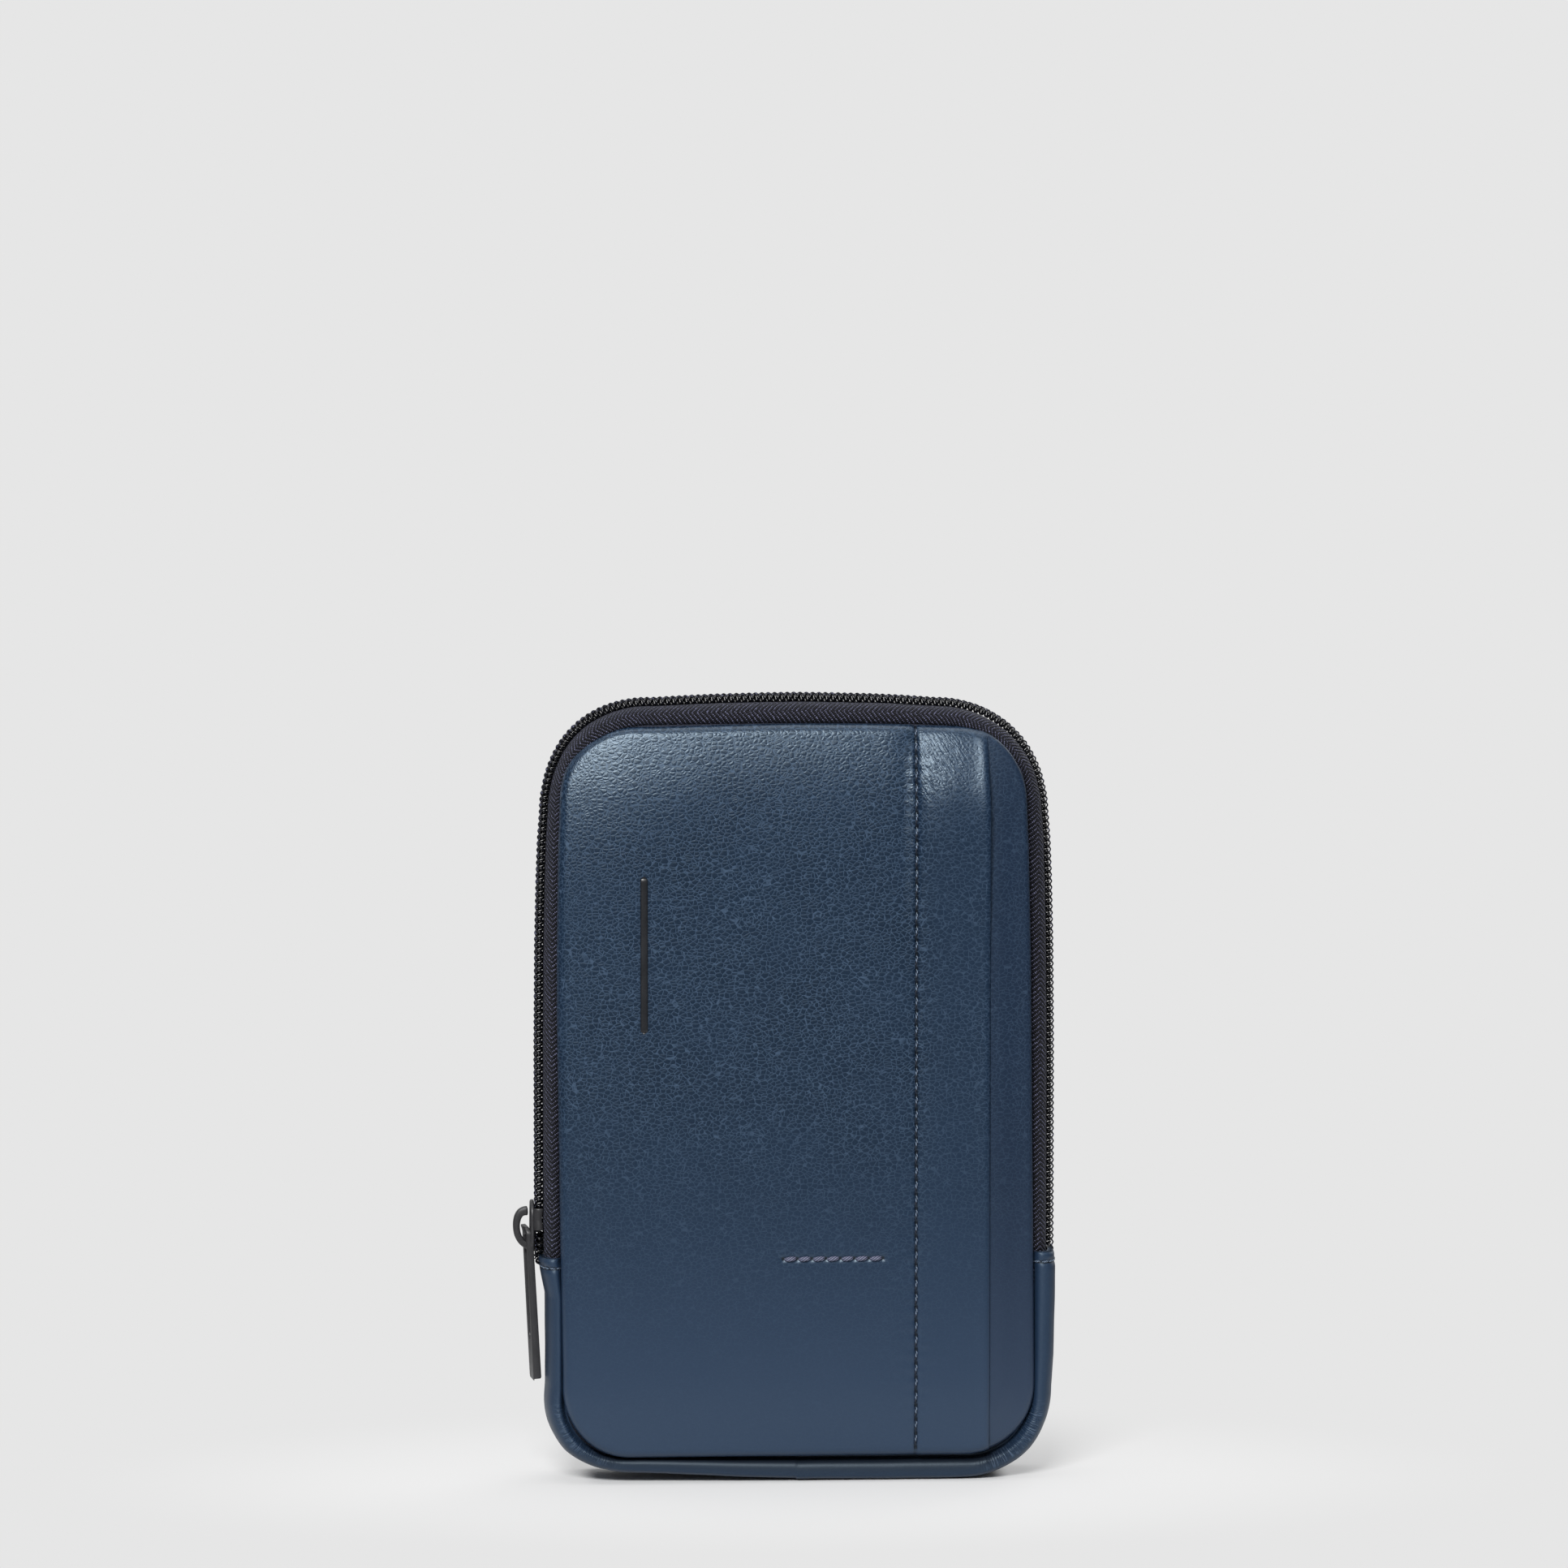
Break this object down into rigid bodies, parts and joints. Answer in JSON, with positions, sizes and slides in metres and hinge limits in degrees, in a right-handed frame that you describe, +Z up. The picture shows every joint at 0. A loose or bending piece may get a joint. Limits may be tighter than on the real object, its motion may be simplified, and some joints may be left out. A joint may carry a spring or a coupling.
{
  "type": "phone pouch",
  "caption": "Slim zip-around leather phone pouch with a front slip pocket, padded panels, a leather gusset and a zip slider with a hanging pull.",
  "frame": {"origin": "middle of the flat base of the leather gusset", "axes": "+Z up along the pouch's height, +X to the right across its width when the front is looked at, +Y through its depth from the front pocket to the back"},
  "size_m": [0.1242, 0.0254, 0.18],
  "materials": {
    "panel_leather": "pebbled",
    "gusset_leather": "pebbled",
    "lining_cloth": "matte twill",
    "binding_cloth": "matte grosgrain",
    "foam": "matte foam",
    "board": "matte",
    "zip_tape": "herringbone",
    "zip_coil": "satin",
    "slider_metal": "matte black",
    "pull_metal": "matte black"
  },
  "bodies": {
    "back_shell": {"back_panel": "panel_leather", "back_padding": "foam", "back_lining": "lining_cloth", "back_seam_binding": "binding_cloth", "gusset_strip": "gusset_leather", "gusset_stiffener": "board", "gusset_lining": "lining_cloth", "zip_tape_back": "zip_tape", "zip_coil_back": "zip_coil", "card_slot_rear": "panel_leather", "card_slot_middle": "panel_leather", "card_slot_front": "panel_leather", "pocket_panel_lower": "panel_leather", "base_panel_lower": "panel_leather", "pocket_lining_lower": "lining_cloth", "front_padding_lower": "foam", "front_lining_lower": "lining_cloth", "front_seam_binding_lower": "binding_cloth", "zip_tape_front_lower": "zip_tape", "zip_coil_front_lower": "zip_coil"},
    "front_cover": {"pocket_panel_upper": "panel_leather", "base_panel_upper": "panel_leather", "pocket_lining_upper": "lining_cloth", "front_padding_upper": "foam", "front_lining_upper": "lining_cloth", "front_seam_binding_upper": "binding_cloth", "zip_tape_front_upper": "zip_tape", "zip_coil_front_upper": "zip_coil", "inner_slip_pocket": "lining_cloth"},
    "slider": {"slider_body": "slider_metal"},
    "pull": {"pull_tab": "pull_metal"}
  },
  "joints": [
    {"name": "front_fold", "type": "hinge", "parent": "back_shell", "child": "front_cover", "pos_m": [0, -0.0137, 0.0665], "axis": [1, 0, 0], "range_deg": [0, 60], "deforming": ["zip_coil_front_upper"]},
    {"name": "slider_travel", "type": "slide", "parent": "back_shell", "child": "slider", "axis": [0, 0, 1], "range_m": [0, 0.089], "deforming": ["zip_coil_back", "zip_coil_front_lower"]},
    {"name": "pull_swing", "type": "hinge", "parent": "slider", "child": "pull", "pos_m": [-0.0617, 0, 0.0569], "axis": [-0.1045, 0.9945, 0], "range_deg": [0, 165]}
  ]
}
